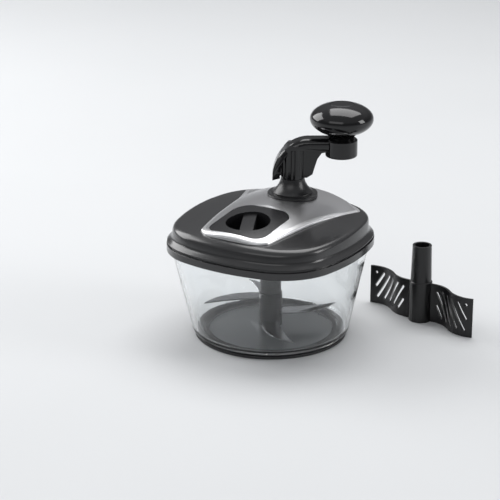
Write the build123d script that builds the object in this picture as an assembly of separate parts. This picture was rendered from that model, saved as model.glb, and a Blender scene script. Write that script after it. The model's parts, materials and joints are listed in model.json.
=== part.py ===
"""Hand-cranked food chopper: clear bowl, geared lid with a crank, lift-out blades and a mixing paddle.

Millimetres, +Z up. The origin is the centre of the bowl's foot, on the table.
The crank stands at +Y, the filler opening lies at -Y.
"""
from build123d import *
import math
import os

# ------------------------------------------------------------------ driving dimensions
# general clearances
GAP = 0.3              # between parts that lie on each other
RUN = 0.05             # radial, in a bearing
FIT = 0.02             # radial, in a push fit

# lid outline: a square with bowed sides and round corners
LID_HALF = 95.0        # centre to the middle of a side
LID_CORNER_R = 60.0
LID_SIDE_R = 200.0

# bowl
BOWL_BASE_R = 80.0
FOOT_HEIGHT = 3.0
FOOT_OUTER_R = BOWL_BASE_R - 3.5
FOOT_INNER_R = BOWL_BASE_R - 18.0
FOOT_RIB_R = BOWL_BASE_R - 12.0    # middle of the rib that holds the ring in the bowl
FOOT_RIB_WIDTH = 3.0
FOOT_RIB_HEIGHT = 2.0
BOWL_CORNER_R = 8.0
BOWL_FLOOR = 4.2       # thickness of the bottom
BOWL_WALL = 2.5
RIM = 97.0             # height of the bowl's rim; all heights of the lid are counted from it
BOWL_RIM_INSET = 3.5   # bowl's rim inside the lid's outline
PIVOT_BOSS_R = 6.0
PIVOT_BOSS_HEIGHT = 4.0

# pivot of the blades
PIVOT_R = 3.0
PIVOT_LENGTH = 22.0
PIVOT_SUNK = 5.0       # length held in the boss and the bottom

# lid base; from here to the knob, heights are from the top of the bowl's rim
RING_BOTTOM = -5.0     # lower edge of the rim round the bowl
RING_WALL = 2.7
RING_HEIGHT = 7.0
RING_SHELF = 3.9       # width of the ledge inside the ring, over the bowl's rim
GROOVE_DEPTH = 2.2     # dark line between lid base and lid cover
DECK_BOTTOM = 2.6
DECK_TOP = 4.2
RIB_DROP = 5.0         # rib that drops inside the bowl's rim
RIB_WALL = 2.0
RIB_INSET = 7.0
SEAL_HEIGHT = 2.0

# lid cover
FLARE_INSET = 0.4      # lowest edge of the flare inside the outline
FLARE_HEIGHT = 4.8
SKIRT_INSET = 5.6      # foot of the skirt, on the flare
SKIRT_LEAN = 2.0       # degrees
COVER_WALL = 2.4
# slopes round the dark top: height of the lower edge half way back, angle from upright
SHOULDERS = ((19.3, 45.0), (23.5, 68.0))
SHOULDER_TILT = 3.4    # degrees, lower at the front
SHOULDER_REACH = 4.0   # how far outside the skirt they are drawn
CHEEK_TOP = 26.6       # crown of the dark top surface
CHEEK_APEX_Y = 20.0
CHEEK_RX = 880.0
CHEEK_RY = 1175.0
HOOD_TOP = 36.8        # crown of the silver panel
HOOD_APEX_Y = 17.0
HOOD_RX = 150.0
HOOD_RY = 520.0
DOME_REACH = 130.0     # how far the crowned surfaces are drawn to each side
DOME_DEPTH = 95.0      # and how deep they reach

# silver panel: half width at a distance along Y, front to back
PANEL_STATIONS = ((-62.0, 40.5), (-32.0, 44.8), (0.0, 49.5), (32.0, 57.0), (62.0, 67.0), (86.0, 74.0))
PANEL_FRONT_Y = -79.0
PANEL_FRONT_HALF = 22.0
PANEL_FRONT_BOW = 2.0
PANEL_THICK = 1.3
PANEL_PROUD = 0.7      # of the panel over the dark top where the two run level
PANEL_BACK_INSET = 13.0

# filler cap and throat
CAP_Y = -41.0
CAP_HALF_X = 31.0
CAP_HALF_Y = 33.5
CAP_CORNER_R = 15.0
CAP_THICK = 2.2
CAP_SUNK = 0.3         # of its top below the panel's
THROAT_Y = -43.5
THROAT_R = 24.6
THROAT_WALL = 2.0
THROAT_BOTTOM = -2.0
CUP_R = 21.8           # finger recess
CUP_WALL = 1.8
CUP_FLOOR_Z = 16.0
GRIP_WIDTH = 13.0
GRIP_TURN = 25.0       # degrees, far end to the left
GRIP_SUNK = 2.5        # top of the grip bar below the plate
CAP_SEAL_Z = 19.0
CAP_SEAL_R = 0.9       # half the seal's thickness

# gear train
GEAR_MODULE = 1.4
DRIVE_TEETH = 45
PINION_TEETH = 15
ADDENDUM = 0.9         # in modules
DEDENDUM = 1.2
PRESSURE_ANGLE = 20.0
BACKLASH = 0.24
GEAR_WIDTH = 7.0
PINION_WIDTH = 8.0
GEAR_BOTTOM = 10.0
GEAR_HUB_R = 9.0
GEAR_WEB = 3.0
GEAR_RIM = 4.0
AXLE_DISTANCE = GEAR_MODULE * (DRIVE_TEETH + PINION_TEETH) / 2
CRANK_Y = AXLE_DISTANCE

# shafts and their bushes
SHAFT_R = 4.0
FLAT_DEPTH = 0.9       # of the flats that carry the gears and the arm
BUSH_WALL = 1.8
SHAFT_BOTTOM = 3.9
LOWER_BUSH_TOP = 8.6
BOSS_WALL = 2.4
CLIP_THICK = 0.8
CLIP_SUNK = 0.6        # depth of its groove
CLIP_R = 6.4
CLIP_MOUTH = 4.0       # width of the opening in the clip
SPINDLE_BOSS_BOTTOM = -5.0
SPINDLE_BOSS_TOP = 8.0
SPINDLE_SEAL_HEIGHT = 2.4
HEX_FLATS = 7.0
HEX_CLEAR = 0.15       # to each side of the hexagon in its socket
HEX_BOTTOM = -29.0
HEX_TOP = -9.0
SOCKET_DEPTH = 24.0    # of the hexagonal socket in the hubs

# gear cover and screws
GEAR_COVER_Z = 19.0
GEAR_COVER_THICK = 2.5
GEAR_POSTS = ((20.0, -6.0), (30.0, 69.0))
POST_R = 3.6
SCREW_R = 1.5
SCREW_HEAD_R = 2.8
SCREW_HEAD_HEIGHT = 1.9
GEAR_SCREW_LENGTH = 10.0
LID_SCREW_AT = LID_HALF - 36.0    # along X and Y
LID_BOSS_R = 4.6
SCREW_PAD = 2.2        # boss on the deck over each screw head
LID_SCREW_LENGTH = 9.0

# crank collar
COLLAR_R = 25.2
COLLAR_FOOT = HOOD_TOP + 0.4 # top of its upright foot
COLLAR_TOP = COLLAR_FOOT + 16.6
COLLAR_TOP_R = 11.8
COLLAR_LIP = 0.9       # thickness of the lip over the foot
COLLAR_WAIST = (15.3, 7.8)      # a point of the bell's hollow curve, above the foot
COLLAR_FLARE = (20.2, 2.8)      # where the curve ends on the lip
COLLAR_WALL = 2.4
COLLAR_SPIGOT_R = 20.0
COLLAR_BUSH_BOTTOM = COLLAR_FOOT + 1.8
COLLAR_BUSH_TOP = COLLAR_TOP - 1.2
COLLAR_SCREW_R = 13.2  # circle of its three screws
COLLAR_SCREW_LENGTH = 10.0
COLLAR_PAD_Z = HOOD_TOP - 7.2 # flat under the cover for the screw heads
COLLAR_BOSS_R = 3.2

# crank, in its own plane: X along the arm from the shaft, heights from the collar's top
CRANK_REST = 31.5      # degrees from +X at rest
CRANK_RADIUS = 48.2
HUB_R = 12.0
HUB_FLUTES = 8
FLUTE_R = 2.4
HUB_BOTTOM = GAP
HUB_TOP = 35.2
SHAFT_TOP = 21.2
ARM_TOP = 41.8
ARM_DEPTH = 11.0
ARM_WIDTH = 22.0
ARM_ROUND = 6.0
ARM_OUTER = (16.0, 1.2, 36.4)    # upper curve: middle, height of its foot, reach
ARM_INNER = (4.0, 5.2, 17.0)     # lower curve, the same way
HORN_TIP_Z = -2.2
HORN_NECK_Z = 1.2
GUSSET_RUN = ((14.0, 1.2), (19.6, 4.7), (21.4, 11.2), (24.4, 20.7), (28.5, 26.7), (34.0, 27.7), (40.0, 33.7))
WEB_RUN = ((0.0, 3.2), (-16.5, 3.2), (-16.5, 13.2), (-12.0, 23.2), (-5.0, 31.2), (0.0, 31.2))
WEB_WIDTH = 9.0        # of the web between horn and hub
PIN_R = 1.5            # cross pin through hub and shaft
PIN_Z = 14.2
PIN_END = 7.0          # how far the pin reaches past the shaft's axis
SOCKET_R = 16.2        # of the round socket under the knob
SOCKET_BOTTOM = 22.2
SOCKET_TOP = 40.0
SOCKET_FLOOR = 5.0
SOCKET_WALL = 3.4
GUSSET_WIDTH = 12.0

# knob
KNOB_R = 31.7
KNOB_EQUATOR = SOCKET_TOP + 21.0
KNOB_CROWN = 16.1      # height over its widest place
KNOB_DEPTH = 17.0      # and below it
KNOB_NECK_R = 12.3
KNOB_CAP_R = 12.5
KNOB_CAP_THICK = 2.2
KNOB_CAP_DISH = 1.0
KNOB_PIN_R = 4.0
KNOB_PIN_HEAD_R = 6.0
KNOB_PIN_HEAD = 3.0
KNOB_SHELF = KNOB_EQUATOR - 8.8 # what the pin's head holds down
KNOB_POCKET_R = 10.0

# hub that the blades and the paddle share; its top stays below the lid
HUB_LENGTH = RIM - 16.0
HUB_LOW_R = 11.6
BLADE_HUB_STEP = 34.0  # where the blades' hub gets thinner, from its foot
PADDLE_HUB_STEP = 42.0
HUB_STEP_R = 10.7
HUB_TIP_R = 9.7
HUB_MOUTH_R = 7.6
HUB_MOUTH_DEPTH = 8.0
HUB_BUSH_R = 5.0
HUB_LIFT = 1.0         # of the blade hub above the bowl's bottom

# blades
BLADE_THICK = 1.2
BLADE_TIP_X = BOWL_BASE_R - 13.5
BLADE_TIP_Y = 22.0
BLADE_ROOT = 6.5       # how deep the root sits, from the axis
BLADE_LOWEST = 5.0     # first blade above the foot of its hub
BLADE_PITCH = 8.0
BLADE_FIRST_ANGLE = -58.5
BLADE_STEP = 90.0
BLADE_NAMES = ("bottom_blade", "lower_blade", "upper_blade", "top_blade")

# mixing paddle
PADDLE_X = 115.5
PADDLE_Y = 105.5
PADDLE_ANGLE = -13.5
WING_ROOT = 5.0
WING_CROSSING = 37.0   # where the wing's S crosses its own middle line
WING_REACH = 68.5
WING_SWING = 5.0       # sideways sweep of the wing's S
WING_TIP_OFF = 1.0
WING_THICK = 2.6
WING_HEIGHT = 41.0
SLOT_WIDTH = 3.0
SLOT_COUNT = 7
SLOT_FIRST = 16.8
SLOT_PITCH = 8.95
SLOT_SLANT = 0.62      # sideways run for each millimetre up
SLOT_INNER = 18.5
SLOT_OUTER = 62.5
SLOT_LOW = 6.0
SLOT_HIGH = 36.0

# ------------------------------------------------------------------ values that follow
BOWL_BOTTOM = FOOT_HEIGHT
FLOOR_TOP = BOWL_BOTTOM + BOWL_FLOOR
CORNER_AT = (-(LID_SIDE_R - LID_HALF)
             + math.sqrt(2 * (LID_SIDE_R - LID_CORNER_R) ** 2 - (LID_SIDE_R - LID_HALF) ** 2)) / 2
SEAM_ANGLE = math.atan2(CORNER_AT, CORNER_AT + LID_SIDE_R - LID_HALF)
BUSH_R = SHAFT_R + BUSH_WALL
BLADE_HUB_BOTTOM = FLOOR_TOP + HUB_LIFT
CRANK_AT = (0, CRANK_Y)


# ------------------------------------------------------------------ shapes used by several parts
def outline_points(inset):
    """Ends of the side arc and of the corner arc in the first quadrant, with the arcs' middles."""
    half = LID_HALF - inset
    side_r = LID_SIDE_R - inset
    corner_r = LID_CORNER_R - inset
    seam = (half - side_r + side_r * math.cos(SEAM_ANGLE), side_r * math.sin(SEAM_ANGLE))
    diagonal = CORNER_AT + corner_r * math.sqrt(0.5)
    return (seam[0], -seam[1]), (half, 0), seam, (diagonal, diagonal), (seam[1], seam[0])


def eight_arcs(side_start, side_middle, side_end, corner_middle, corner_end):
    """Closed face of four side arcs and four corner arcs."""
    edges = []
    for quarter in range(4):
        turn = Rot(0, 0, 90 * quarter)
        edges.append(turn * ThreePointArc(side_start, side_middle, side_end))
        edges.append(turn * ThreePointArc(side_end, corner_middle, corner_end))
    return make_face(edges)


def lid_shape(inset):
    """The lid's outline, moved inwards by inset."""
    return eight_arcs(*outline_points(inset))


def round_shape(radius):
    """A circle cut into the same eight arcs as the lid's outline."""
    seam = outline_points(0)[2]
    angle = math.atan2(seam[1], seam[0])
    point = [(radius * math.cos(a), radius * math.sin(a))
             for a in (-angle, 0, angle, math.pi / 4, math.pi / 2 - angle)]
    return eight_arcs(*point)


def slab(face, low, high):
    """The face drawn up from low to high."""
    return extrude(Pos(0, 0, low) * face, high - low)


def frame_ring(outer_inset, inner_inset, low, high):
    """A ring that follows the lid's outline."""
    return slab(lid_shape(outer_inset), low, high) - slab(lid_shape(inner_inset), low, high)


def disc(radius, low, high, at=(0, 0)):
    """A round bar or plate."""
    return Pos(at[0], at[1], low) * extrude(Circle(radius), high - low)


def tube(outer, inner, low, high, at=(0, 0)):
    """A round tube."""
    return disc(outer, low, high, at) - disc(inner, low, high, at)


def flatted_bar(radius, low, high, at=(0, 0)):
    """A round bar with one flat, for a gear or arm to grip."""
    flat = Pos(radius - FLAT_DEPTH + radius, 0) * Rectangle(2 * radius, 3 * radius)
    return Pos(at[0], at[1], low) * extrude(Circle(radius) - flat, high - low)


def hexagon_bar(flats, low, high, at=(0, 0)):
    """A hexagonal bar."""
    return Pos(at[0], at[1], low) * extrude(RegularPolygon(flats / 2, 6, major_radius=False), high - low)


def crowned_block(top, apex_y, radius_x, radius_y):
    """A block whose upper side is crowned both ways."""
    sag_x = DOME_REACH ** 2 / (2 * radius_x)
    sag_y = DOME_REACH ** 2 / (2 * radius_y)
    steps = (-1, 0, 1)
    rise_x = [sag_x * (1 - 2 * abs(step)) for step in steps]
    rise_y = [sag_y * (1 - 2 * abs(step)) for step in steps]
    grid = [[(DOME_REACH * i, apex_y + DOME_REACH * j, top + up_x + up_y) for j, up_y in zip(steps, rise_y)]
            for i, up_x in zip(steps, rise_x)]
    return extrude(Face.make_bezier_surface(grid), DOME_DEPTH, dir=(0, 0, -1))


def under_cheek(drop=0.0):
    """Everything below the dark top surface, or below a surface that far under it."""
    return crowned_block(CHEEK_TOP - drop, CHEEK_APEX_Y, CHEEK_RX, CHEEK_RY)


def under_hood(drop=0.0):
    """Everything below the silver panel's surface, or below a surface that far under it."""
    return crowned_block(HOOD_TOP - drop, HOOD_APEX_Y, HOOD_RX, HOOD_RY)


def panel_shape(inset):
    """Plan of the silver panel: blunt rounded front, sides that spread towards the back."""
    right = [(half - inset, y) for y, half in PANEL_STATIONS]
    left = [(-x, y) for x, y in reversed(right)]
    front_y = PANEL_FRONT_Y + inset
    front_right = (PANEL_FRONT_HALF, front_y + PANEL_FRONT_BOW)
    front_left = (-PANEL_FRONT_HALF, front_y + PANEL_FRONT_BOW)
    front = ThreePointArc(front_left, (0, front_y), front_right)
    corner = TangentArc(front_right, right[0], tangent=front % 1)
    mirrored = mirror(corner, Plane.YZ)
    side = Spline(*right, tangents=[corner % 1, (0.3, 1)])
    other = mirror(side, Plane.YZ)
    back = Line(right[-1], left[0])
    plan = make_face([front, corner, side, back, other, mirrored])
    return plan & lid_shape(PANEL_BACK_INSET + inset)


def cap_shape(grow=0.0):
    """Plan of the filler cap's plate."""
    return Pos(0, CAP_Y) * RectangleRounded(
        2 * (CAP_HALF_X + grow), 2 * (CAP_HALF_Y + grow), CAP_CORNER_R + grow)


def involute_gear(teeth, width, low, at, first_angle):
    """Spur gear with true involute flanks; the middle of one tooth points to first_angle."""
    pitch_r = GEAR_MODULE * teeth / 2
    base_r = pitch_r * math.cos(math.radians(PRESSURE_ANGLE))
    tip_r = pitch_r + ADDENDUM * GEAR_MODULE
    root_r = pitch_r - DEDENDUM * GEAR_MODULE
    spread = math.tan(math.radians(PRESSURE_ANGLE)) - math.radians(PRESSURE_ANGLE)
    half_tooth = math.pi / (2 * teeth) - BACKLASH / (2 * pitch_r)
    start_r = max(base_r, root_r)
    radii = [start_r + (tip_r - start_r) * step / 4 for step in range(5)]
    flank = []
    for radius in radii:
        turn = math.acos(min(1, base_r / radius))
        flank.append((radius, half_tooth + spread - (math.tan(turn) - turn)))
    if root_r < base_r:
        flank.insert(0, (root_r, flank[0][1]))
    points = []
    for tooth in range(teeth):
        middle = math.radians(first_angle) + tooth * 2 * math.pi / teeth
        for radius, angle in flank:
            points.append((radius * math.cos(middle - angle), radius * math.sin(middle - angle)))
        for radius, angle in reversed(flank):
            points.append((radius * math.cos(middle + angle), radius * math.sin(middle + angle)))
    blank = make_face(Polyline(*points, close=True))
    return Pos(at[0], at[1], low) * extrude(blank, width)


def screw(at, head_low, length, up=1):
    """Pan-head screw; up is 1 when its point is above its head."""
    body = disc(SCREW_HEAD_R, 0, SCREW_HEAD_HEIGHT) + disc(SCREW_R, SCREW_HEAD_HEIGHT, length)
    drive = Pos(0, 0, 0) * (extrude(Rectangle(3.6, 0.9), 1.0) + extrude(Rectangle(0.9, 3.6), 1.0))
    body -= drive
    if up < 0:
        body = Rot(180, 0, 0) * body
    return Pos(at[0], at[1], head_low) * body


def shared_hub(bottom, step):
    """The long hub that drops on the pivot and takes the spindle's hexagon at the top."""
    top = bottom + HUB_LENGTH
    profile = make_face(Polyline(
        (0, bottom), (HUB_LOW_R, bottom), (HUB_LOW_R, bottom + step), (HUB_STEP_R, bottom + step + 0.8),
        (HUB_TIP_R, top), (0, top), close=True))
    hub = revolve(Plane.XZ * profile, Axis.Z)
    hub -= disc(HUB_MOUTH_R, top - HUB_MOUTH_DEPTH, top)
    hub -= hexagon_bar(HEX_FLATS + 2 * HEX_CLEAR, top - SOCKET_DEPTH, top)
    hub -= disc(PIVOT_BOSS_R + 1.0, bottom, bottom + PIVOT_BOSS_HEIGHT)
    hub -= disc(HUB_BUSH_R + FIT, bottom, bottom + PIVOT_LENGTH)
    return hub


def hub_bush(bottom, at=(0, 0)):
    """Bearing bush pressed into the foot of a hub."""
    low = bottom + PIVOT_BOSS_HEIGHT
    return tube(HUB_BUSH_R, PIVOT_R + RUN, low, bottom + PIVOT_LENGTH - 1.0, at)


def circlip(shaft_r, low, at):
    """Open spring ring in a groove of the shaft."""
    ring = tube(CLIP_R, shaft_r - CLIP_SUNK, low, low + CLIP_THICK, at)
    mouth = Pos(at[0] - CLIP_R / 2, at[1], low) * extrude(Rectangle(CLIP_R, CLIP_MOUTH), CLIP_THICK)
    return ring - mouth


def clip_groove(shaft_r, low, at):
    """What the groove for a circlip takes from the shaft."""
    return tube(shaft_r + 1.0, shaft_r - CLIP_SUNK - FIT, low, low + CLIP_THICK, at)


def save(name, shape, lift=0.0):
    """Write one node, lifted to where its heights are counted from."""
    shape = Pos(0, 0, lift) * shape
    parts[name] = shape
    export_step(shape, f"parts/{name}.step")


os.makedirs("parts", exist_ok=True)
parts = {}

# ------------------------------------------------------------------ bowl, foot and pivot
bowl_top_outer = lid_shape(BOWL_RIM_INSET)
bowl_top_inner = lid_shape(BOWL_RIM_INSET + BOWL_WALL)
wall_start = BOWL_BOTTOM + BOWL_CORNER_R
bowl = loft([Pos(0, 0, wall_start) * round_shape(BOWL_BASE_R), Pos(0, 0, RIM) * bowl_top_outer], ruled=True)
corner_middle_r = BOWL_BASE_R - BOWL_CORNER_R
dish = make_face([
    Line((0, BOWL_BOTTOM), (corner_middle_r, BOWL_BOTTOM)),
    RadiusArc((corner_middle_r, BOWL_BOTTOM), (BOWL_BASE_R, wall_start), -BOWL_CORNER_R),
    Line((BOWL_BASE_R, wall_start), (0, wall_start)),
    Line((0, wall_start), (0, BOWL_BOTTOM))])
bowl += revolve(Plane.XZ * dish, Axis.Z)
inner_base_r = BOWL_BASE_R - BOWL_WALL
inner_corner_r = BOWL_CORNER_R - BOWL_WALL
inner_start = FLOOR_TOP + inner_corner_r
pool_mouth = Pos(0, 0, inner_start) * round_shape(inner_base_r)
hollow = loft([pool_mouth, Pos(0, 0, RIM) * bowl_top_inner], ruled=True)
inner_middle_r = inner_base_r - inner_corner_r
pool = make_face([
    Line((0, FLOOR_TOP), (inner_middle_r, FLOOR_TOP)),
    RadiusArc((inner_middle_r, FLOOR_TOP), (inner_base_r, inner_start), -inner_corner_r),
    Line((inner_base_r, inner_start), (0, inner_start)),
    Line((0, inner_start), (0, FLOOR_TOP))])
hollow += revolve(Plane.XZ * pool, Axis.Z)
bowl -= hollow
bowl += disc(PIVOT_BOSS_R, FLOOR_TOP, FLOOR_TOP + PIVOT_BOSS_HEIGHT)
pivot_bottom = FLOOR_TOP + PIVOT_BOSS_HEIGHT - PIVOT_SUNK
bowl -= disc(PIVOT_R + FIT, pivot_bottom, FLOOR_TOP + PIVOT_BOSS_HEIGHT)
rib_outer = FOOT_RIB_R + FOOT_RIB_WIDTH / 2
rib_inner = FOOT_RIB_R - FOOT_RIB_WIDTH / 2
bowl -= tube(rib_outer + GAP, rib_inner - GAP, BOWL_BOTTOM, BOWL_BOTTOM + FOOT_RIB_HEIGHT)
save("bowl", bowl)

foot_ring = tube(FOOT_OUTER_R, FOOT_INNER_R, 0, FOOT_HEIGHT)
foot_ring += tube(rib_outer, rib_inner, FOOT_HEIGHT, FOOT_HEIGHT + FOOT_RIB_HEIGHT)
foot_ring = chamfer(foot_ring.edges().group_by(Axis.Z)[0].sort_by(SortBy.RADIUS)[-1], 0.8)
save("foot_ring", foot_ring)

pivot_pin = disc(PIVOT_R, pivot_bottom, pivot_bottom + PIVOT_LENGTH)
pivot_pin = chamfer(pivot_pin.edges().group_by(Axis.Z)[-1], 0.6)
save("pivot_pin", pivot_pin)

# ------------------------------------------------------------------ lid base
ring_top = RING_BOTTOM + RING_HEIGHT
seal_low = GAP
lid_base = frame_ring(0, RING_WALL, RING_BOTTOM, ring_top)
lid_base += frame_ring(RING_WALL / 2, RING_SHELF, seal_low, ring_top)
lid_base += frame_ring(GROOVE_DEPTH, RING_SHELF, ring_top, DECK_BOTTOM)
lid_base += slab(lid_shape(GROOVE_DEPTH), DECK_BOTTOM, DECK_TOP)
lid_base += frame_ring(RIB_INSET, RIB_INSET + RIB_WALL, DECK_BOTTOM - RIB_DROP, DECK_BOTTOM)
lid_base += disc(BUSH_R + BOSS_WALL, SPINDLE_BOSS_BOTTOM, SPINDLE_BOSS_TOP)
lid_base += disc(BUSH_R + BOSS_WALL, DECK_TOP, LOWER_BUSH_TOP, CRANK_AT)
throat_outer = THROAT_R + THROAT_WALL
throat = disc(throat_outer, THROAT_BOTTOM, HOOD_TOP, (0, THROAT_Y)) & under_hood(CAP_SUNK + CAP_THICK + GAP)
lid_base += throat
lid_base -= disc(THROAT_R, THROAT_BOTTOM, HOOD_TOP, (0, THROAT_Y))
lid_base -= disc(BUSH_R + FIT, SPINDLE_BOSS_BOTTOM, SPINDLE_BOSS_TOP)
lid_base -= disc(BUSH_R + FIT, SHAFT_BOTTOM - GAP, HOOD_TOP, CRANK_AT)
post_spots = [(sign * x, y) for x, y in GEAR_POSTS for sign in (-1, 1)]
for spot in post_spots:
    lid_base += disc(POST_R, DECK_TOP, GEAR_COVER_Z, spot)
    lid_base -= disc(SCREW_R + FIT, GEAR_COVER_Z - GEAR_SCREW_LENGTH, GEAR_COVER_Z, spot)
screw_spots = [(sx * LID_SCREW_AT, sy * LID_SCREW_AT) for sx in (-1, 1) for sy in (-1, 1)]
head_top = DECK_BOTTOM + SCREW_HEAD_HEIGHT
for spot in screw_spots:
    lid_base += disc(LID_BOSS_R + 1.0, DECK_TOP, DECK_TOP + SCREW_PAD, spot)
    lid_base -= disc(SCREW_HEAD_R + GAP, DECK_BOTTOM, head_top + GAP, spot)
    lid_base -= disc(SCREW_R + 0.2, DECK_BOTTOM, DECK_TOP + SCREW_PAD, spot)
save("lid_base", lid_base, RIM)

lid_seal = frame_ring(RING_SHELF + GAP, RIB_INSET - GAP, seal_low, seal_low + SEAL_HEIGHT)
save("lid_seal", lid_seal, RIM)

# ------------------------------------------------------------------ lid cover
skirt_foot = DECK_TOP + FLARE_HEIGHT


def cover_block(inset, drop):
    """The skirt's block under the dark top, with its inset and how far its upper side is let down."""
    lean = math.tan(math.radians(SKIRT_LEAN))
    foot = Pos(0, 0, DECK_TOP) * lid_shape(inset - FLARE_HEIGHT * lean)
    block = extrude(foot, CHEEK_TOP + 2.0 - DECK_TOP, taper=SKIRT_LEAN) & under_cheek(drop)
    for crease, angle in SHOULDERS:
        depth = SHOULDER_REACH / math.tan(math.radians(angle))
        start = inset + (crease - skirt_foot) * lean - SHOULDER_REACH
        tilted = Pos(0, 0, crease - depth - drop) * Rot(SHOULDER_TILT, 0, 0)
        below = tilted * slab(lid_shape(start), -40.0, 0)
        above = extrude(tilted * lid_shape(start), 12.0 / math.tan(math.radians(angle)) + depth, taper=angle)
        block &= below + above
    return block


panel_seat = PANEL_THICK + GAP
body = cover_block(SKIRT_INSET, 0)
flare_angle = math.degrees(math.atan((SKIRT_INSET - FLARE_INSET) / FLARE_HEIGHT))
body += extrude(Pos(0, 0, DECK_TOP) * lid_shape(FLARE_INSET), FLARE_HEIGHT, taper=flare_angle)
body += slab(panel_shape(panel_seat), DECK_TOP, HOOD_TOP) & under_hood(panel_seat)
inside = cover_block(SKIRT_INSET + COVER_WALL, COVER_WALL)
inside += slab(panel_shape(panel_seat + COVER_WALL), DECK_TOP, HOOD_TOP) & under_hood(panel_seat + COVER_WALL)
lid_cover = body - inside
for spot in screw_spots:
    boss = disc(LID_BOSS_R, DECK_TOP + SCREW_PAD + GAP, CHEEK_TOP, spot) & under_cheek(COVER_WALL / 2)
    lid_cover += boss
    lid_cover -= disc(SCREW_R + FIT, DECK_TOP, DECK_BOTTOM + LID_SCREW_LENGTH + 1.0, spot)
plate_under = CAP_SUNK + CAP_THICK + GAP
pocket = slab(cap_shape(GAP + 0.2), DECK_TOP, HOOD_TOP + 1) - under_hood(plate_under)
lid_cover -= pocket
lid_cover -= disc(throat_outer + GAP, DECK_TOP, HOOD_TOP + 1, (0, THROAT_Y))
collar_spots = [(COLLAR_SCREW_R * math.cos(math.radians(a)), CRANK_Y + COLLAR_SCREW_R * math.sin(math.radians(a)))
                for a in (90, 210, 330)]
for spot in collar_spots:
    lid_cover += disc(SCREW_HEAD_R + 1.2, COLLAR_PAD_Z, HOOD_TOP, spot) & under_hood(panel_seat)
    lid_cover -= disc(SCREW_R + 0.2, COLLAR_PAD_Z, HOOD_TOP, spot)
lid_cover -= disc(BUSH_R + BOSS_WALL + GAP, DECK_TOP, HOOD_TOP + 1, CRANK_AT)
save("lid_cover", lid_cover, RIM)

# ------------------------------------------------------------------ silver panel
panel_top = under_hood() + under_cheek(-PANEL_PROUD)
silver_panel = slab(panel_shape(0), DECK_TOP, HOOD_TOP + 1) & panel_top
silver_panel -= under_cheek(-GAP)
silver_panel -= slab(panel_shape(PANEL_THICK), DECK_TOP, HOOD_TOP + 1) & under_hood(PANEL_THICK)
silver_panel -= slab(cap_shape(GAP + 0.2), DECK_TOP, HOOD_TOP + 1)
silver_panel -= disc(COLLAR_SPIGOT_R + GAP, DECK_TOP, HOOD_TOP + 1, CRANK_AT)
save("silver_panel", silver_panel, RIM)

# ------------------------------------------------------------------ crank collar and bushes
lip_high = COLLAR_FOOT + COLLAR_LIP
waist = (COLLAR_WAIST[0], COLLAR_FOOT + COLLAR_WAIST[1])
flare = (COLLAR_FLARE[0], COLLAR_FOOT + COLLAR_FLARE[1])
collar_profile = make_face([
    Polyline((flare[0], lip_high), (COLLAR_R, lip_high), (COLLAR_R, COLLAR_PAD_Z), (0, COLLAR_PAD_Z),
             (0, COLLAR_TOP), (COLLAR_TOP_R, COLLAR_TOP)),
    ThreePointArc((COLLAR_TOP_R, COLLAR_TOP), waist, flare),
    Line(flare, (flare[0], lip_high))])
collar = Pos(0, CRANK_Y, 0) * revolve(Plane.XZ * collar_profile, Axis.Z)
collar -= under_hood(-GAP)
collar += disc(COLLAR_SPIGOT_R, COLLAR_PAD_Z, COLLAR_FOOT, CRANK_AT) - under_hood(panel_seat - GAP)
core_r = flare[0] - COLLAR_WALL
core_profile = make_face(Polyline(
    (0, COLLAR_PAD_Z), (core_r, COLLAR_PAD_Z), (core_r, COLLAR_FOOT),
    (waist[0] - COLLAR_WALL / 2, waist[1] - COLLAR_WALL), (waist[0] - COLLAR_WALL, waist[1]), (0, waist[1]),
    close=True))
core = Pos(0, CRANK_Y, 0) * revolve(Plane.XZ * core_profile, Axis.Z)
core -= disc(BUSH_R + BOSS_WALL, COLLAR_PAD_Z, COLLAR_TOP, CRANK_AT)
for spot in collar_spots:
    core -= disc(COLLAR_BOSS_R, COLLAR_PAD_Z, COLLAR_TOP, spot)
collar -= core
collar += disc(BUSH_R + BOSS_WALL, COLLAR_PAD_Z, COLLAR_FOOT, CRANK_AT)
collar -= disc(BUSH_R + FIT, COLLAR_PAD_Z, COLLAR_BUSH_TOP, CRANK_AT)
collar -= disc(SHAFT_R + GAP, COLLAR_PAD_Z, COLLAR_TOP, CRANK_AT)
for spot in collar_spots:
    collar -= disc(SCREW_R + FIT, COLLAR_PAD_Z, COLLAR_PAD_Z + COLLAR_SCREW_LENGTH, spot)
save("crank_collar", collar, RIM)

save("collar_bush", tube(BUSH_R, SHAFT_R + RUN, COLLAR_BUSH_BOTTOM, COLLAR_BUSH_TOP, CRANK_AT), RIM)
journal_r = SHAFT_R - FLAT_DEPTH
save("deck_bush", tube(BUSH_R, journal_r + RUN, SHAFT_BOTTOM - GAP, LOWER_BUSH_TOP, CRANK_AT), RIM)
seal_top = SPINDLE_BOSS_BOTTOM + GAP + SPINDLE_SEAL_HEIGHT
save("spindle_seal", tube(BUSH_R, SHAFT_R + RUN, SPINDLE_BOSS_BOTTOM + GAP, seal_top), RIM)
save("spindle_bush", tube(BUSH_R, SHAFT_R + RUN, seal_top + GAP, SPINDLE_BOSS_TOP), RIM)

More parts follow.
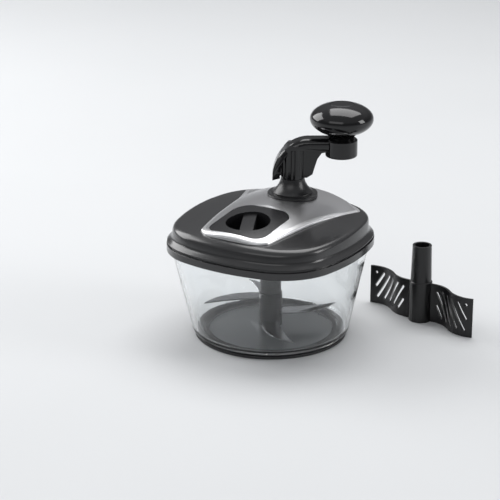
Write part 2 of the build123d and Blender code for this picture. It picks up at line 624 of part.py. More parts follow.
# ------------------------------------------------------------------ gear cover and the lid's screws
gear_cover_top = GEAR_COVER_Z + GEAR_COVER_THICK
rounds = [Pos(x, y) * Circle(POST_R + 2.0) for x, y in post_spots]
gear_cover = slab(make_hull((Sketch() + rounds).edges()), GEAR_COVER_Z, gear_cover_top)
gear_cover += disc(SHAFT_R + BOSS_WALL, GEAR_COVER_Z, gear_cover_top + 1.5)
gear_cover -= disc(journal_r + RUN, GEAR_COVER_Z, gear_cover_top)
gear_cover -= disc(SHAFT_R + 1.0, GEAR_COVER_Z, gear_cover_top, CRANK_AT)
for spot in post_spots:
    gear_cover -= disc(SCREW_R + 0.2, GEAR_COVER_Z, gear_cover_top, spot)
save("gear_cover", gear_cover, RIM)
gear_screw_top = gear_cover_top + SCREW_HEAD_HEIGHT
gear_cover_screws = [screw(spot, gear_screw_top, GEAR_SCREW_LENGTH, -1) for spot in post_spots]
save("gear_cover_screws", Compound(gear_cover_screws), RIM)
save("lid_screws", Compound([screw(spot, DECK_BOTTOM + GAP, LID_SCREW_LENGTH) for spot in screw_spots]), RIM)
collar_head = COLLAR_PAD_Z - SCREW_HEAD_HEIGHT
save("collar_screws", Compound([screw(spot, collar_head, COLLAR_SCREW_LENGTH) for spot in collar_spots]), RIM)

# ------------------------------------------------------------------ filler cap
cap = slab(cap_shape(), DECK_TOP, HOOD_TOP) & under_hood(CAP_SUNK)
cap -= under_hood(CAP_SUNK + CAP_THICK)
throat_at = (0, THROAT_Y)
cup = disc(CUP_R + CUP_WALL, CUP_FLOOR_Z - CUP_WALL, HOOD_TOP, throat_at) & under_hood(CAP_SUNK)
grip_shape = Pos(0, THROAT_Y) * Rot(0, 0, GRIP_TURN) * Rectangle(GRIP_WIDTH, 2 * CUP_R + 1)
grip = slab(grip_shape, CUP_FLOOR_Z, HOOD_TOP) & under_hood(CAP_SUNK + GRIP_SUNK)
cap += cup
cap -= disc(CUP_R, CUP_FLOOR_Z, HOOD_TOP, throat_at)
cap += grip & disc(CUP_R + CUP_WALL / 2, CUP_FLOOR_Z, HOOD_TOP, throat_at)
groove_r = CUP_R + CUP_WALL - CAP_SEAL_R
cap -= tube(CUP_R + CUP_WALL + 1, groove_r, CAP_SEAL_Z - CAP_SEAL_R, CAP_SEAL_Z + CAP_SEAL_R, throat_at)
save("cap_plate", cap, RIM)
cap_seal = tube(THROAT_R - RUN, groove_r + FIT, CAP_SEAL_Z - CAP_SEAL_R, CAP_SEAL_Z + CAP_SEAL_R, throat_at)
cap_seal = fillet(cap_seal.edges().filter_by(GeomType.CIRCLE).sort_by(SortBy.RADIUS)[-2:], 0.4)
save("cap_seal", cap_seal, RIM)

# ------------------------------------------------------------------ crank shaft and gears
to_crank = Pos(0, CRANK_Y, COLLAR_TOP) * Rot(0, 0, CRANK_REST)
gear_top = GEAR_BOTTOM + GEAR_WIDTH + 1.0
gear_below = GEAR_BOTTOM - COLLAR_TOP
gear_end = gear_top - COLLAR_TOP
crank_shaft = disc(journal_r, SHAFT_BOTTOM - COLLAR_TOP, gear_below)
crank_shaft += flatted_bar(SHAFT_R, gear_below, gear_end)
crank_shaft += disc(SHAFT_R, gear_end, HUB_BOTTOM)
crank_shaft += flatted_bar(SHAFT_R, HUB_BOTTOM, SHAFT_TOP)
pin_middle = (HUB_R - PIN_END) / 2
pin_hole = Pos(0, pin_middle, PIN_Z) * Rot(90, 0, 0) * Cylinder(PIN_R + FIT, HUB_R + PIN_END + 2.0)
crank_shaft -= pin_hole
clip_low = gear_below - CLIP_THICK - 0.1
crank_shaft -= clip_groove(journal_r, clip_low, (0, 0))
save("crank_shaft", to_crank * crank_shaft, RIM)
save("crank_clip", to_crank * circlip(journal_r, clip_low, (0, 0)), RIM)

mesh_angle = -90.0
bore = flatted_bar(SHAFT_R + FIT, GEAR_BOTTOM, gear_top)
drive_gear = involute_gear(DRIVE_TEETH, GEAR_WIDTH, GEAR_BOTTOM, (0, 0), mesh_angle)
web_low = GEAR_BOTTOM + (GEAR_WIDTH - GEAR_WEB) / 2
rim_inner = GEAR_MODULE * DRIVE_TEETH / 2 - DEDENDUM * GEAR_MODULE - GEAR_RIM
for low, high in ((GEAR_BOTTOM, web_low), (web_low + GEAR_WEB, GEAR_BOTTOM + GEAR_WIDTH)):
    drive_gear -= tube(rim_inner, GEAR_HUB_R, low, high)
drive_gear += disc(GEAR_HUB_R, GEAR_BOTTOM + GEAR_WIDTH, gear_top)
drive_gear -= Rot(0, 0, CRANK_REST) * bore
save("drive_gear", Pos(0, CRANK_Y, 0) * drive_gear, RIM)

pinion_top = GEAR_BOTTOM + PINION_WIDTH
pinion = involute_gear(PINION_TEETH, PINION_WIDTH, GEAR_BOTTOM, (0, 0), 90.0 + 180.0 / PINION_TEETH)
pinion -= flatted_bar(SHAFT_R + FIT, GEAR_BOTTOM, pinion_top)
save("pinion_gear", pinion, RIM)

spindle = hexagon_bar(HEX_FLATS, HEX_BOTTOM, HEX_TOP)
spindle = chamfer(spindle.edges().group_by(Axis.Z)[0], 0.8)
spindle += disc(SHAFT_R, HEX_TOP, GEAR_BOTTOM)
spindle += flatted_bar(SHAFT_R, GEAR_BOTTOM, pinion_top)
spindle += disc(journal_r, pinion_top, gear_cover_top - 0.3)
spindle_clip_low = SPINDLE_BOSS_BOTTOM - CLIP_THICK - 0.2
spindle -= clip_groove(SHAFT_R, spindle_clip_low, (0, 0))
save("drive_spindle", spindle, RIM)
save("spindle_clip", circlip(SHAFT_R, spindle_clip_low, (0, 0)), RIM)
save("spindle_washer", tube(BUSH_R + 1.6, SHAFT_R + RUN, SPINDLE_BOSS_TOP + 0.2, GEAR_BOTTOM - 0.2), RIM)

# ------------------------------------------------------------------ crank arm
def quarter(curve, top):
    """Quarter of an ellipse from its foot, upright, to its top, level."""
    middle, foot, reach = curve
    height = top - foot
    return EllipticalCenterArc((middle, foot), reach, height, start_angle=90, arc_size=90)


arm_low = ARM_TOP - ARM_DEPTH
outer_back = ARM_OUTER[0] - ARM_OUTER[2]
inner_back = ARM_INNER[0] - ARM_INNER[2]
arm_end = CRANK_RADIUS - SOCKET_R + SOCKET_WALL
under_arm = make_face([
    quarter(ARM_OUTER, ARM_TOP),
    Line((ARM_OUTER[0], ARM_TOP), (ARM_OUTER[0], ARM_OUTER[1])),
    Line((ARM_OUTER[0], ARM_OUTER[1]), (outer_back, ARM_OUTER[1]))])
arm_face = make_face([
    quarter(ARM_OUTER, ARM_TOP),
    Line((ARM_OUTER[0], ARM_TOP), (arm_end, ARM_TOP)),
    Line((arm_end, ARM_TOP), (arm_end, arm_low)),
    Line((arm_end, arm_low), (ARM_INNER[0], arm_low)),
    quarter(ARM_INNER, arm_low),
    Line((inner_back, ARM_INNER[1]), (inner_back, HORN_NECK_Z)),
    Line((inner_back, HORN_NECK_Z), (outer_back, HORN_TIP_Z)),
    Line((outer_back, HORN_TIP_Z), (outer_back, ARM_OUTER[1]))])
arm_bar = extrude(Plane.XZ * arm_face, ARM_WIDTH / 2, both=True)
upper_edges = []
for edge in arm_bar.edges():
    middle = edge @ 0.5
    on_side = abs(abs(middle.Y) - ARM_WIDTH / 2) < 0.01
    over = middle.Z > ARM_TOP - 0.01 or (edge.geom_type == GeomType.ELLIPSE and middle.X < inner_back + 3)
    if on_side and (over or (abs(middle.X - outer_back) < 0.01)):
        upper_edges.append(edge)
arm_bar = fillet(upper_edges, ARM_ROUND)
plan = Polyline((outer_back - 1, -3.5), (-9, -ARM_WIDTH / 2), (arm_end, -ARM_WIDTH / 2),
                (arm_end, ARM_WIDTH / 2), (-9, ARM_WIDTH / 2), (outer_back - 1, 3.5), close=True)
arm_bar &= extrude(Pos(0, 0, HORN_TIP_Z) * make_face(plan), ARM_TOP - HORN_TIP_Z)
gusset_face = make_face(Polyline((0, GUSSET_RUN[0][1]), *GUSSET_RUN, (0, GUSSET_RUN[-1][1]), close=True))
gusset = extrude(Plane.XZ * gusset_face, GUSSET_WIDTH / 2, both=True)
web = extrude(Plane.XZ * make_face(Polyline(*WEB_RUN, close=True)), WEB_WIDTH / 2, both=True)
hub = disc(HUB_R, HUB_BOTTOM, HUB_TOP)
for step in range(HUB_FLUTES):
    turn = Rot(0, 0, 360 * step / HUB_FLUTES)
    hub -= turn * disc(FLUTE_R, HUB_BOTTOM, arm_low, (HUB_R + FLUTE_R * 0.3, 0))
hub_upper = disc(HUB_R, ARM_OUTER[1], HUB_TOP) - extrude(Plane.XZ * under_arm, ARM_WIDTH, both=True)
hub -= hub_upper
socket_at = (CRANK_RADIUS, 0)
socket = disc(SOCKET_R, SOCKET_BOTTOM, SOCKET_TOP)
socket = fillet(socket.edges().group_by(Axis.Z)[0], 2.0)
socket = chamfer(socket.edges().group_by(Axis.Z)[-1], 0.8)
socket = Pos(CRANK_RADIUS, 0, 0) * socket
crank_arm = arm_bar + gusset + web + hub + socket
crank_arm -= disc(SOCKET_R - SOCKET_WALL, SOCKET_BOTTOM + SOCKET_FLOOR, ARM_TOP, socket_at)
crank_arm -= disc(KNOB_PIN_R + FIT, SOCKET_BOTTOM, ARM_TOP, socket_at)
crank_arm -= flatted_bar(SHAFT_R + FIT, HUB_BOTTOM, SHAFT_TOP + 1)
crank_arm -= pin_hole
save("crank_arm", to_crank * crank_arm, RIM)
pin_place = Pos(0, pin_middle - 0.5, PIN_Z) * Rot(90, 0, 0)
save("cross_pin", to_crank * pin_place * Cylinder(PIN_R, HUB_R + PIN_END - 1.0), RIM)

# ------------------------------------------------------------------ knob and its pin
to_knob = to_crank * Pos(CRANK_RADIUS, 0, 0)
knob_low = SOCKET_BOTTOM + SOCKET_FLOOR + 1.0
pin_top = KNOB_SHELF + GAP + 0.8
knob_pin = disc(KNOB_PIN_R, SOCKET_BOTTOM, pin_top) + disc(KNOB_PIN_HEAD_R, pin_top, pin_top + KNOB_PIN_HEAD)
save("knob_pin", to_knob * knob_pin, RIM)
save("knob_washer", to_knob * tube(KNOB_PIN_HEAD_R + 2, KNOB_PIN_R + GAP, KNOB_SHELF + GAP, pin_top), RIM)
save("knob_sleeve", to_knob * tube(KNOB_PIN_R + 1.5, KNOB_PIN_R + RUN, knob_low, KNOB_SHELF - GAP), RIM)

cap_z = KNOB_EQUATOR + KNOB_CROWN * math.sqrt(1 - (KNOB_CAP_R / KNOB_R) ** 2)
crown_end = math.degrees(math.acos(KNOB_CAP_R / KNOB_R))
under_end = -55.0
under_r = KNOB_R * math.cos(math.radians(under_end))
under_z = KNOB_EQUATOR + KNOB_DEPTH * math.sin(math.radians(under_end))
neck_z = SOCKET_TOP - 1.0
knob_face = make_face([
    Line((0, knob_low), (KNOB_NECK_R, knob_low)),
    Line((KNOB_NECK_R, knob_low), (KNOB_NECK_R, neck_z)),
    Spline((KNOB_NECK_R, neck_z), (under_r, under_z), tangents=[(0, 1), (1, 0.35)]),
    EllipticalCenterArc((0, KNOB_EQUATOR), KNOB_R, KNOB_DEPTH, start_angle=under_end, arc_size=-under_end),
    EllipticalCenterArc((0, KNOB_EQUATOR), KNOB_R, KNOB_CROWN, start_angle=0, arc_size=crown_end),
    Line((KNOB_CAP_R, cap_z), (0, cap_z)),
    Line((0, cap_z), (0, knob_low))])
knob = revolve(Plane.XZ * knob_face, Axis.Z)
knob -= disc(KNOB_CAP_R - 0.4, cap_z - KNOB_CAP_THICK - GAP, cap_z)
knob -= disc(KNOB_POCKET_R, KNOB_SHELF, cap_z)
knob -= disc(KNOB_PIN_R + 1.5 + FIT, knob_low, KNOB_SHELF)
save("knob_body", to_knob * knob, RIM)
cap_bottom = cap_z - KNOB_CAP_THICK - GAP
lid_r = KNOB_CAP_R - 0.4 - GAP
dish_r = (lid_r ** 2 + KNOB_CAP_DISH ** 2) / (2 * KNOB_CAP_DISH)
knob_cap = disc(lid_r, cap_bottom, cap_z) - Pos(0, 0, cap_z - KNOB_CAP_DISH + dish_r) * Sphere(dish_r)
save("knob_cap", to_knob * knob_cap, RIM)

# ------------------------------------------------------------------ blade insert
blade_hub = Pos(0, 0, 0) * shared_hub(BLADE_HUB_BOTTOM, BLADE_HUB_STEP)
blade_face = make_face([
    Line((BLADE_ROOT, 5.0), (BLADE_ROOT, -5.0)),
    Line((BLADE_ROOT, -5.0), (HUB_LOW_R, -8.0)),
    ThreePointArc((HUB_LOW_R, -8.0), (44.0, -1.5), (BLADE_TIP_X, BLADE_TIP_Y)),
    ThreePointArc((BLADE_TIP_X, BLADE_TIP_Y), (40.0, 13.0), (HUB_LOW_R, 8.0)),
    Line((HUB_LOW_R, 8.0), (BLADE_ROOT, 5.0))])
for step, name in enumerate(BLADE_NAMES):
    low = BLADE_HUB_BOTTOM + BLADE_LOWEST + BLADE_PITCH * step
    turn = Rot(0, 0, BLADE_FIRST_ANGLE + BLADE_STEP * step)
    blade = turn * slab(blade_face, low, low + BLADE_THICK)
    blade_hub -= turn * slab(offset(blade_face, FIT), low, low + BLADE_THICK)
    save(name, blade)
save("blade_hub", blade_hub)
save("blade_hub_bush", hub_bush(BLADE_HUB_BOTTOM))

# ------------------------------------------------------------------ mixing paddle
inner_bend = ThreePointArc((WING_ROOT, 0), ((WING_ROOT + WING_CROSSING) / 2, WING_SWING), (WING_CROSSING, 0))
outer_bend = TangentArc((WING_CROSSING, 0), (WING_REACH, -WING_TIP_OFF), tangent=inner_bend % 1)
wing = slab(trace([inner_bend, outer_bend], WING_THICK), 0, WING_HEIGHT)
middle_z = (SLOT_LOW + SLOT_HIGH) / 2
for step in range(SLOT_COUNT):
    reach = SLOT_FIRST + SLOT_PITCH * step
    low = max(SLOT_LOW + SLOT_WIDTH / 2, middle_z + (reach - SLOT_OUTER) / SLOT_SLANT)
    high = min(SLOT_HIGH - SLOT_WIDTH / 2, middle_z + (reach - SLOT_INNER) / SLOT_SLANT)
    foot = (reach - SLOT_SLANT * (low - middle_z), low)
    head = (reach - SLOT_SLANT * (high - middle_z), high)
    gap = trace(Line(foot, head), SLOT_WIDTH)
    for end in (foot, head):
        gap += Pos(*end) * Circle(SLOT_WIDTH / 2)
    wing -= extrude(Plane.XZ * gap, 2 * WING_SWING, both=True)
paddle = shared_hub(0, PADDLE_HUB_STEP)
bore = disc(HUB_LOW_R - 1.0, 0, WING_HEIGHT)
paddle += wing - bore
paddle += Rot(0, 0, 180) * (wing - bore)
to_paddle = Pos(PADDLE_X, PADDLE_Y, 0) * Rot(0, 0, PADDLE_ANGLE)
save("mixing_paddle", to_paddle * paddle)
save("paddle_bush", hub_bush(0, (PADDLE_X, PADDLE_Y)))

for name, shape in parts.items():
    print(name, len(shape.solids()), round(shape.volume), shape.is_valid)
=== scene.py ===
"""A hand-cranked food chopper, built up piece by piece in the order in which it is put together."""
import json
import math

import bmesh
import bpy
from mathutils import Matrix, Vector, geometry


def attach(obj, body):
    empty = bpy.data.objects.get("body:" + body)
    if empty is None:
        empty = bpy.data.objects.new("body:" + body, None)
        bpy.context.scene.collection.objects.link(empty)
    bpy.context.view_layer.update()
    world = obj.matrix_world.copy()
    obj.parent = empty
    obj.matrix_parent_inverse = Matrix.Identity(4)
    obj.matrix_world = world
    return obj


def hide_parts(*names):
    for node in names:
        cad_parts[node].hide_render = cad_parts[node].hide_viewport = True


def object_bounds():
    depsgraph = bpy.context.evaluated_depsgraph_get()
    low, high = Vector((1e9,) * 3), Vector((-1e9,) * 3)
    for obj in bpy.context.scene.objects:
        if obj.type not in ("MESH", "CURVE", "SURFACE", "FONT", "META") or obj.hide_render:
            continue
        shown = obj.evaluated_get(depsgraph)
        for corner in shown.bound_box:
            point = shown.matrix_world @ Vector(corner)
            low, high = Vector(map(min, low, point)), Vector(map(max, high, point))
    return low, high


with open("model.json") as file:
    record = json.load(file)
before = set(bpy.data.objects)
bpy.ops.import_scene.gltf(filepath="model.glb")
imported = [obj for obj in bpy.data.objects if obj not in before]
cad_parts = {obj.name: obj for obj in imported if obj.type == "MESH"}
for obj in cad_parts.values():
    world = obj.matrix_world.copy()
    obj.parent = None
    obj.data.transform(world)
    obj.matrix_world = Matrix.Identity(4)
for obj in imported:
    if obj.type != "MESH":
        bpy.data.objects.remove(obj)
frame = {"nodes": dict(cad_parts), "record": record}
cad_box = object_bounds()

scene = bpy.context.scene
nodes = frame["nodes"]

# ------------------------------------------------------------------ camera
# The photograph looks down on the chopper from the front right, with a long lens.
camera = bpy.data.objects.new("camera", bpy.data.cameras.new("camera"))
camera.data.sensor_width = 36.0
camera.data.lens = 129.6
camera.location = (0.8636, -1.4491, 0.6933)
camera.rotation_euler = Vector((-0.4916, 0.8022, -0.3387)).to_track_quat("-Z", "Y").to_euler()
scene.collection.objects.link(camera)
scene.camera = camera
scene.view_settings.view_transform = "Standard"


# ------------------------------------------------------------------ foot ring
# A soft grey-black ring pressed into a groove under the bowl, so that the bowl
# doesn't slide. Moulded, with a fine matte skin.
class Signal:
    """A number on a node's socket; arithmetic on it adds Math nodes."""

    def __init__(self, finish, socket):
        self.finish = finish
        self.socket = socket

    def math(self, operation, first, second):
        return self.finish.add("ShaderNodeMath", {"operation": operation}, {0: first, 1: second})

    def __add__(self, other):
        return self.math("ADD", self, other)

    def __mul__(self, other):
        return self.math("MULTIPLY", self, other)

    __radd__ = __add__
    __rmul__ = __mul__


class Finish:
    """A material, or the studio's sky, written as a short list of nodes."""

    def __init__(self, name, kind="materials"):
        self.owner = getattr(bpy.data, kind).new(name)
        self.owner.use_nodes = True
        self.tree = self.owner.node_tree
        self.tree.nodes.clear()

    def add(self, kind, settings, inputs, output=0):
        """One node: first its settings, then the values or the links of its sockets."""
        node = self.tree.nodes.new(kind)
        for key, value in settings.items():
            if key == "stops":
                self.set_stops(node.color_ramp.elements, value)
            else:
                setattr(node, key, value)
        for key, value in inputs.items():
            if isinstance(value, Signal):
                self.tree.links.new(value.socket, node.inputs[key])
            else:
                node.inputs[key].default_value = value
        return Signal(self, node.outputs[output]) if node.outputs else None

    def set_stops(self, elements, stops):
        """Give a ramp its stops, lowest first; a new ramp already has its two ends."""
        for element, (place, colour) in zip(elements, (stops[0], stops[-1])):
            element.position = place
            element.color = (*colour, 1)
        for place, colour in stops[1:-1]:
            elements.new(place).color = (*colour, 1)

    def noise(self, size, detail=2.0, stretch=(1, 1, 1)):
        """Cloudy pattern from 0 to 1, with patches about size metres across."""
        place = self.add("ShaderNodeTexCoord", {}, {}, "Object")
        placed = self.add("ShaderNodeMapping", {}, {"Vector": place, "Scale": stretch})
        return self.add("ShaderNodeTexNoise", {}, {"Vector": placed, "Scale": 1 / size, "Detail": detail})

    def bump(self, height, depth, strength=1.0):
        """Surface relief of that depth in metres."""
        return self.add("ShaderNodeBump", {}, {"Height": height, "Distance": depth, "Strength": strength})

    def tint(self, amount, dark, light):
        """Colour between dark and light by amount; a Mix node's two colours are its inputs 6 and 7."""
        return self.add("ShaderNodeMix", {"data_type": "RGBA"}, {0: amount, 6: (*dark, 1), 7: (*light, 1)}, 2)

    def close(self, **sockets):
        """Put the shader on the surface and hand over the material."""
        inputs = {key.replace("_", " ").title().replace("Ior", "IOR"): sockets[key] for key in sockets}
        shader = self.add("ShaderNodeBsdfPrincipled", {}, inputs)
        self.add("ShaderNodeOutputMaterial", {}, {"Surface": shader})
        return self.owner


def moulded(name, dark, light, rough, spread=0.05, coat=0.0):
    """Injection-moulded plastic: faint flow clouds, a fine skin, and handling marks in its gloss."""
    finish = Finish(name)
    clouds = finish.noise(size=0.03, detail=3.0)
    skin = finish.noise(size=0.0004)
    wear = finish.noise(size=0.006, detail=5.0, stretch=(1, 1, 3))
    return finish.close(
        base_color=finish.tint(clouds, dark, light),
        roughness=rough - spread / 2 + wear * spread,
        coat_weight=coat, coat_roughness=0.06,
        normal=finish.bump(skin, depth=0.00001))


def dress(node, material):
    """Give a CAD node its finish."""
    mesh = nodes[node].data
    mesh.materials.clear()
    mesh.materials.append(material)


def land(node, mesh, material, body):
    """Put a finished mesh in the scene, on its body and in place of its node."""
    mesh.materials.clear()
    mesh.materials.append(material)
    mesh.shade_smooth()
    mesh.set_sharp_from_angle(angle=math.radians(32))
    piece = bpy.data.objects.new(node + "_piece", mesh)
    scene.collection.objects.link(piece)
    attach(piece, body)
    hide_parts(node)
    return piece


def eased(node, material, body, width, segments=3):
    """The node's own shape with the small rounded edges that its mould or grinding leaves."""
    weld = 0.00001                # points this close are one
    level = math.radians(0.4)     # faces this near to level are one
    blunt = math.radians(38.0)    # an edge must turn more than this to be rounded
    mesh = nodes[node].data.copy()
    work = bmesh.new()
    work.from_mesh(mesh)
    bmesh.ops.remove_doubles(work, verts=work.verts, dist=weld)
    bmesh.ops.dissolve_limit(work, angle_limit=level, verts=work.verts, edges=work.edges)
    work.to_mesh(mesh)
    work.free()
    blank = bpy.data.objects.new("blank", mesh)
    scene.collection.objects.link(blank)
    edge = blank.modifiers.new("edge", "BEVEL")
    edge.width = width
    edge.segments = segments
    edge.angle_limit = blunt
    weigh = blank.modifiers.new("weigh", "WEIGHTED_NORMAL")
    weigh.weight = 80
    finished = bpy.data.meshes.new_from_object(blank.evaluated_get(bpy.context.evaluated_depsgraph_get()))
    bpy.data.objects.remove(blank)
    return land(node, finished, material, body)


foot_rubber = moulded("foot rubber", dark=(0.018, 0.018, 0.020), light=(0.028, 0.028, 0.030), rough=0.62)
eased("foot_ring", foot_rubber, "bowl", width=0.0006)

# ------------------------------------------------------------------ bowl
# Clear moulded bowl: a round foot that widens to a square rim with bowed sides.
# Polished inside and out, with slight flow waves in the wall.
finish = Finish("clear plastic")
waves = finish.noise(size=0.02, detail=2.0, stretch=(1, 1, 0.4))
clear_plastic = finish.close(
    base_color=finish.tint(waves, (0.93, 0.95, 0.96), (0.97, 0.98, 0.98)),
    roughness=0.02 + waves * 0.03, transmission_weight=1.0, ior=1.45,
    normal=finish.bump(waves, depth=0.00008, strength=0.3))
dress("bowl", clear_plastic)

# ------------------------------------------------------------------ pivot pin
# Turned steel pin in the middle of the bowl's floor, on which the blades spin.
def turned(name, colour, rough):
    """Metal from a lathe: fine rings round the part and a slightly uneven polish."""
    finish = Finish(name)
    rings = finish.noise(size=0.0006, detail=3.0, stretch=(0.15, 0.15, 6))
    polish = finish.noise(size=0.004, detail=3.0)
    return finish.close(
        base_color=finish.tint(polish, colour, [min(1, c * 1.08) for c in colour]),
        metallic=1.0, roughness=rough + rings * 0.1, normal=finish.bump(rings, depth=0.00001))


steel = turned("turned steel", colour=(0.60, 0.60, 0.61), rough=0.22)
dress("pivot_pin", steel)

# ------------------------------------------------------------------ blade insert
# Long plastic hub that drops on the pin, with four stamped sickle blades moulded
# into it in a rising spiral. The blades are polished steel with a ground edge.
hub_plastic = moulded("hub plastic", dark=(0.018, 0.018, 0.020), light=(0.028, 0.028, 0.030), rough=0.38)
eased("blade_hub", hub_plastic, "blade_insert", width=0.0003)
finish = Finish("blade steel")
grind = finish.noise(size=0.0008, detail=4.0)
drift = finish.noise(size=0.015, detail=2.0)
blade_steel = finish.close(
    base_color=finish.tint(drift, (0.66, 0.67, 0.68), (0.78, 0.78, 0.79)),
    metallic=1.0, roughness=0.14 + grind * 0.12, normal=finish.bump(grind, depth=0.00001, strength=0.5))
for name in ("bottom_blade", "lower_blade", "upper_blade", "top_blade"):
    eased(name, blade_steel, "blade_insert", width=0.00045, segments=1)
bush_plastic = moulded("bush plastic", dark=(0.50, 0.48, 0.42), light=(0.58, 0.56, 0.49), rough=0.45)
dress("blade_hub_bush", bush_plastic)

# ------------------------------------------------------------------ mixing paddle
# One-piece black paddle that takes the blades' place on the pin: two wings in a
# flat S with slanted slots, on the same long hub.
paddle_plastic = moulded(
    "paddle plastic", dark=(0.004, 0.004, 0.0045), light=(0.007, 0.007, 0.0075), rough=0.30)
eased("mixing_paddle", paddle_plastic, "mixing_paddle", width=0.0005, segments=2)
dress("paddle_bush", bush_plastic)

# ------------------------------------------------------------------ lid base
# Dark ring that sits over the bowl's rim and carries the deck, the throat and
# the lower bearings. Satin, with the parting line as its upper edge.
ring_plastic = moulded(
    "ring plastic", dark=(0.014, 0.014, 0.015), light=(0.021, 0.021, 0.022), rough=0.22, coat=0.2)
eased("lid_base", ring_plastic, "lid", width=0.0006)
seal_rubber = moulded("seal rubber", dark=(0.16, 0.165, 0.17), light=(0.21, 0.215, 0.22), rough=0.6)
for name in ("lid_seal", "spindle_seal", "cap_seal"):
    dress(name, seal_rubber)
brass = turned("turned brass", colour=(0.62, 0.45, 0.20), rough=0.26)
for name in ("deck_bush", "spindle_bush", "collar_bush", "knob_sleeve"):
    dress(name, brass)

# ------------------------------------------------------------------ gear train
# Natural white acetal gears with a smear of grease, on a steel spindle with a
# hexagonal end, all under a flat white cover that four screws hold.
gear_plastic = moulded("gear plastic", dark=(0.66, 0.65, 0.60), light=(0.74, 0.73, 0.68), rough=0.34)
eased("gear_cover", gear_plastic, "lid", width=0.0005)
for name in ("drive_gear", "pinion_gear"):
    dress(name, gear_plastic)
for name in ("drive_spindle", "spindle_clip", "spindle_washer", "crank_shaft", "crank_clip",
             "gear_cover_screws", "lid_screws", "collar_screws"):
    dress(name, steel)

# ------------------------------------------------------------------ lid cover
# The dark upper moulding: a flared foot over the parting gap, a nearly upright
# skirt with a crisp upper crease, a rolled shoulder that is deepest at the front,
# and a shallow crown. Its raised middle carries the silver panel.
lid_half = -cad_box[0][0]    # the lid's rim is the widest thing to the left
side_radius = 0.200
corner_radius = 0.060

crown_top = 0.1236           # above the table, as are all heights here
crown_y = 0.020              # where the crown is highest
crown_across = 1.76          # twice its radius across the lid
crown_along = 2.35           # and from front to back

cover_foot = 0.1012
cover_wall = 0.0024
flare = ((0.0004, cover_foot), (0.0006, 0.1019), (0.0018, 0.1029), (0.0033, 0.1041),
         (0.0046, 0.1053), (0.0054, 0.1066), (0.0057, 0.1080))    # how far in, how high
crease_height = 0.1163       # over the middle; it climbs to the back
crease_climb = 0.0594
crease_x = 0.089
least_roll = 0.0016          # of the shoulder above the crease
skirt_inset = 0.0060
crease_inset = 0.0062
crease_round = 0.0006        # from the skirt's top ring up to the crease
roll_inset = 0.0063
roll_depth = 0.010           # how far in the roll goes where the shoulder is high
roll_least = 0.0022          # and where the shoulder has no height
roll_share = 0.95            # of the shoulder's height that is added to that
roll_steps = 10
crown_inset = 0.0190

crank_joint = next(joint for joint in frame["record"]["behaviour"]["joints"] if joint["name"] == "crank_spin")
crank_at = crank_joint["pos_m"][:2]
shaft_hole = 0.0090
cap_at = (0.0, -0.041)
cap_hole_x = 0.0315
cap_hole_y = 0.0340
cap_hole_corner = 0.0155


def lid_outline(inset):
    """Points of the lid's outline, a square with bowed sides and round corners, moved inwards."""
    count = 288
    bow = side_radius - lid_half
    middle = (-bow + math.sqrt(2 * (side_radius - corner_radius) ** 2 - bow ** 2)) / 2
    seam = math.atan2(middle, middle + bow)
    side_end = math.atan2(side_radius * math.sin(seam), side_radius * math.cos(seam) - bow)
    points = []
    for step in range(count):
        turn = 2 * math.pi * step / count
        quarter = round(turn / (math.pi / 2))
        angle = turn - quarter * math.pi / 2
        if abs(angle) <= side_end:
            centre, radius = Vector((-bow, 0)), side_radius
        else:
            centre, radius = Vector((middle, math.copysign(middle, angle))), corner_radius
        aim = Vector((math.cos(angle), math.sin(angle)))
        along = aim.dot(centre)
        point = aim * (along + math.sqrt(along ** 2 + radius ** 2 - centre.length_squared))
        point -= (point - centre).normalized() * inset
        points.append(Matrix.Rotation(quarter * math.pi / 2, 2) @ point)
    return points


def dark_top(x, y):
    """Height of the dark crown."""
    return crown_top - x * x / crown_across - (y - crown_y) ** 2 / crown_along


def crease(y):
    """Height of the crease at the top of the skirt."""
    return min(crease_height + crease_climb * y, dark_top(crease_x, y) - least_roll)


def ring_at(points, height):
    """The points, each raised to the height that belongs to its place."""
    return [(point.x, point.y, height(point.x, point.y)) for point in points]


def round_hole(middle, radius):
    """Points of a circle."""
    count = 64
    return [Vector((middle[0] + radius * math.cos(2 * math.pi * i / count),
                    middle[1] + radius * math.sin(2 * math.pi * i / count))) for i in range(count)]


def blunt_square(middle, half_x, half_y, corner):
    """Points of a rectangle with round corners."""
    count = 24
    points = []
    for quarter, (side_x, side_y) in enumerate(((1, 1), (-1, 1), (-1, -1), (1, -1))):
        for step in range(count):
            angle = (quarter + step / (count - 1)) * math.pi / 2
            points.append(Vector((middle[0] + side_x * (half_x - corner) + corner * math.cos(angle),
                                  middle[1] + side_y * (half_y - corner) + corner * math.sin(angle))))
    return points


def on_field(spot, fences, margin):
    """Whether a spot lies within the first closed fence, out of the others, and clear of them all."""
    for fence in fences:
        within = False
        before = fence[-1]
        for post in fence:
            if (post.y > spot.y) != (before.y > spot.y):
                if spot.x < (before.x - post.x) * (spot.y - post.y) / (before.y - post.y) + post.x:
                    within = not within
            before = post
        if within != (fence is fences[0]):
            return False
        if min((post - spot).length_squared for post in fence) < margin ** 2:
            return False
    return True


